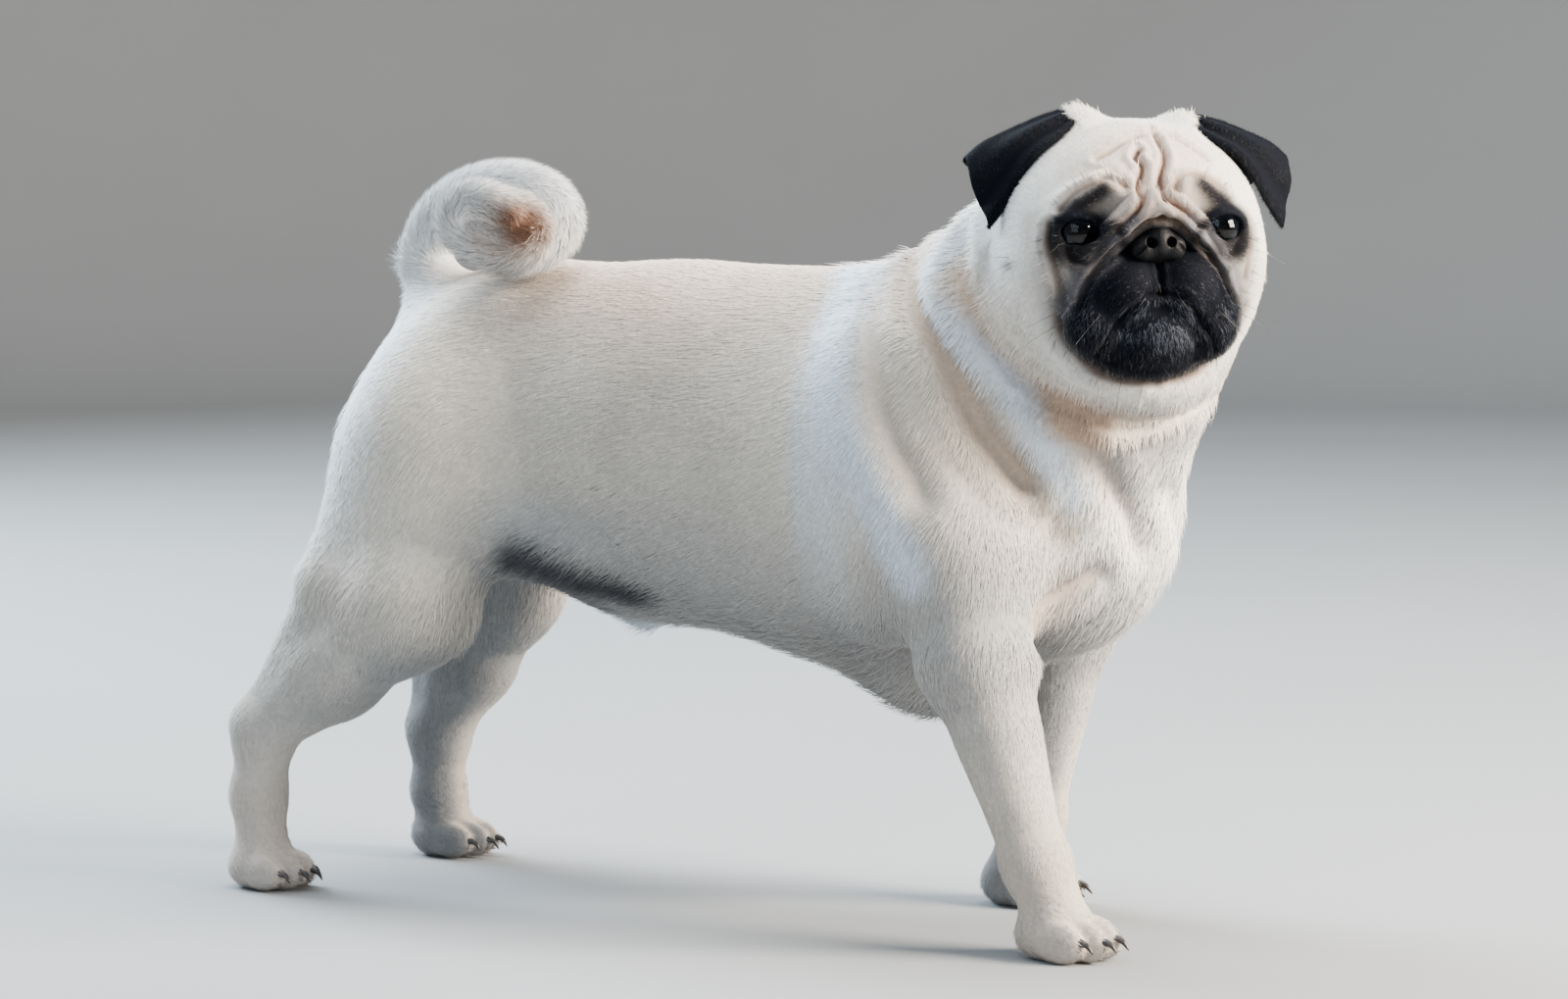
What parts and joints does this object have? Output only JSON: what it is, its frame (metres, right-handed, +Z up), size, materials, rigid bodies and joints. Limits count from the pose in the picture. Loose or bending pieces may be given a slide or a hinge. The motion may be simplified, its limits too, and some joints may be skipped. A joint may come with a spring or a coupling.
{
  "type": "pug",
  "caption": "Life-size still model of a standing pug, head turned to its right and tail curled over the hip.",
  "frame": {"origin": "middle of the floor rectangle under the animal, on the floor", "axes": "+X from tail to chest, +Y to the animal's left, +Z up"},
  "size_m": [0.5122, 0.1958, 0.3748],
  "materials": {
    "fawn_coat": "short soft pale fawn fur",
    "ear_coat": "velvety black fur",
    "mask_coat": "short black fur",
    "nose_leather": "damp pebbled black skin",
    "eye": "glossy dark brown",
    "claw": "smooth horn"
  },
  "bodies": {
    "root": {"head": "fawn_coat", "neck": "fawn_coat", "chest": "fawn_coat", "loin": "fawn_coat", "rump": "fawn_coat", "right_foreleg": "fawn_coat", "right_fore_paw": "fawn_coat", "left_foreleg": "fawn_coat", "left_fore_paw": "fawn_coat", "right_thigh": "fawn_coat", "right_gaskin": "fawn_coat", "right_hock": "fawn_coat", "right_hind_paw": "fawn_coat", "left_thigh": "fawn_coat", "left_gaskin": "fawn_coat", "left_hock": "fawn_coat", "left_hind_paw": "fawn_coat", "lower_jaw": "mask_coat", "nose": "nose_leather", "eye_left": "eye", "eye_right": "eye", "ear_left": "ear_coat", "ear_right": "ear_coat", "tail_base": "fawn_coat", "tail_middle": "fawn_coat", "tail_tip": "fawn_coat"}
  },
  "joints": []
}
